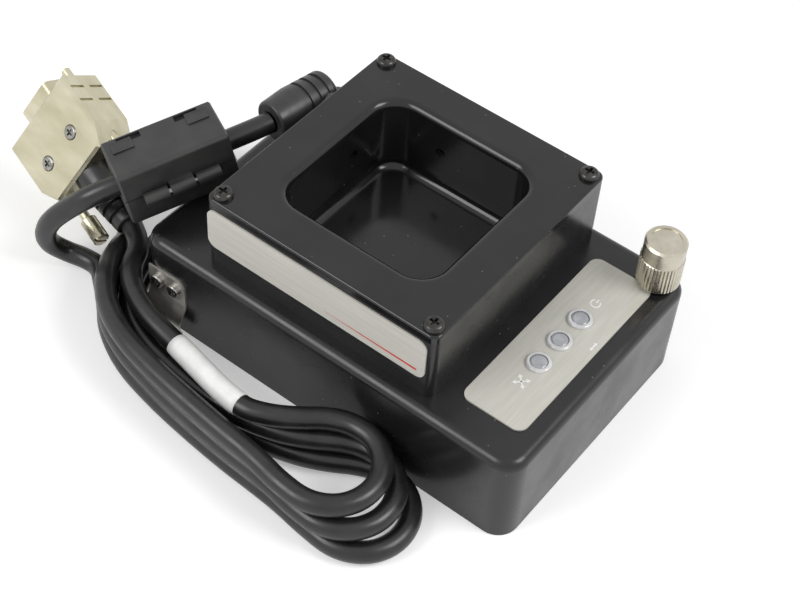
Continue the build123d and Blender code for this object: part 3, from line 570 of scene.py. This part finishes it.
def makeLatchWindow(name, s, way):
    along = Vector(s["along"]).normalized()
    up = along.cross(Vector(s["across"])).normalized()
    across = up.cross(along)
    turn = Matrix((along, across, up)).transposed().to_4x4()
    place = Vector(s["middle"]) + along * s["spread"] * way + across * s["aside"] + up * s["rise"]
    bm = bmesh.new()
    bmesh.ops.create_grid(bm, x_segments=1, y_segments=1, size=0.5)  # one unit square
    bmesh.ops.scale(bm, verts=bm.verts, vec=(s["long"], s["wide"], 1.0))
    top = thicken(bm, list(bm.faces), (0, 0, s["high"]))
    bmesh.ops.inset_region(bm, faces=top, thickness=s["rim"], use_even_offset=True)
    bmesh.ops.translate(bm, verts=list(top[0].verts), vec=(0, 0, s["high"] * (s["sill"] - 1)))
    bmesh.ops.recalc_face_normals(bm, faces=bm.faces)
    bmesh.ops.transform(bm, matrix=Matrix.Translation(place) @ turn, verts=bm.verts)
    obj = addMesh(name, bm)
    coat(obj, "caseGrey")
    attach(obj, "ferrite_top")


makeLatchWindow("latchNear", latch, 1)
makeLatchWindow("latchFar", latch, -1)
print("latch windows made")


# stripe along the foot of the nameplate, drawn out to a point
stripe = {"from": -0.0020, "to": 0.0285, "height": 0.0406, "width": 0.0007, "lift": 0.00006}


def makeStripe(s):
    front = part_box("nameplate")[0].y
    half = s["width"] / 2
    bm = bmesh.new()
    corners = [bm.verts.new(p) for p in (
        (s["from"], front, s["height"]),
        (s["to"], front, s["height"] - half),
        (s["to"], front, s["height"] + half))]
    face = bmesh.ops.contextual_create(bm, geom=corners)["faces"]
    thicken(bm, face, (0, -s["lift"], 0))
    bmesh.ops.recalc_face_normals(bm, faces=bm.faces)
    obj = addMesh("plateStripe", bm)
    coat(obj, "stripeRed")
    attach(obj, "root")


makeStripe(stripe)
print("stripe made")


# floor and light: half is the floor's half width, drop how far it lies under the object
stageLook = {"half": 1.8, "drop": 0.0003, "white": 0.80, "lift": 0.36, "sky": 0.48, "skySeen": 1.0}
lamps = [
    {"name": "keyLamp", "place": (0.85, 0.30, 1.00), "aim": (0.0, 0.0, 0.02), "size": 0.6, "power": 8.5},
    {"name": "fillLamp", "place": (-0.45, -0.85, 0.80), "aim": (0.0, 0.0, 0.02), "size": 0.6, "power": 6.0},
]


def seenDirectly(tree):  # 1 for the camera and for what gloss and clear lenses show
    path = tree.nodes.new("ShaderNodeLightPath")
    seen = path.outputs["Is Camera Ray"]
    for ray in ("Is Glossy Ray", "Is Transmission Ray"):
        most = tree.nodes.new("ShaderNodeMath")
        most.operation = "MAXIMUM"
        tree.links.new(seen, most.inputs[0])
        tree.links.new(path.outputs[ray], most.inputs[1])
        seen = most.outputs[0]
    return seen


def makeFloor(s):
    mat = bpy.data.materials.new("floorPale")
    mat.use_nodes = True
    tree = mat.node_tree
    tree.nodes.clear()
    out = tree.nodes.new("ShaderNodeOutputMaterial")
    matte = tree.nodes.new("ShaderNodeBsdfDiffuse")
    matte.inputs["Color"].default_value = (s["white"],) * 3 + (1.0,)
    glow = tree.nodes.new("ShaderNodeEmission")
    glow.inputs["Strength"].default_value = s["lift"]
    both = tree.nodes.new("ShaderNodeAddShader")
    pick = tree.nodes.new("ShaderNodeMixShader")
    link = tree.links.new
    link(matte.outputs[0], both.inputs[0])
    link(glow.outputs[0], both.inputs[1])
    link(seenDirectly(tree), pick.inputs["Fac"])
    link(matte.outputs[0], pick.inputs[1])
    link(both.outputs[0], pick.inputs[2])
    link(pick.outputs[0], out.inputs["Surface"])
    bm = bmesh.new()
    bmesh.ops.create_grid(bm, x_segments=1, y_segments=1, size=s["half"],
                          matrix=Matrix.Translation((0, 0, -s["drop"])))
    floor = addMesh("floor", bm)
    floor.data.materials.append(mat)


def makeSky(s):
    world = bpy.data.worlds.new("sky")
    bpy.context.scene.world = world
    world.use_nodes = True
    tree = world.node_tree
    tree.nodes.clear()
    out = tree.nodes.new("ShaderNodeOutputWorld")
    pick = tree.nodes.new("ShaderNodeMixShader")
    tree.links.new(seenDirectly(tree), pick.inputs["Fac"])
    for socket, strength in ((1, s["sky"]), (2, s["skySeen"])):
        glow = tree.nodes.new("ShaderNodeBackground")
        glow.inputs["Strength"].default_value = strength
        glow.inputs["Color"].default_value = (1, 1, 1, 1)
        tree.links.new(glow.outputs[0], pick.inputs[socket])
    tree.links.new(pick.outputs[0], out.inputs["Surface"])


def makeLamp(look):
    data = bpy.data.lights.new(look["name"], "AREA")
    data.size = look["size"]
    data.energy = look["power"]
    lamp = addObject(look["name"], data)
    place = Vector(look["place"])
    lamp.location = place
    lamp.rotation_euler = (Vector(look["aim"]) - place).to_track_quat("-Z", "Y").to_euler()


makeFloor(stageLook)
makeSky(stageLook)
for look in lamps:
    makeLamp(look)
bpy.context.scene.view_settings.view_transform = "Standard"
print("floor and lamps placed")
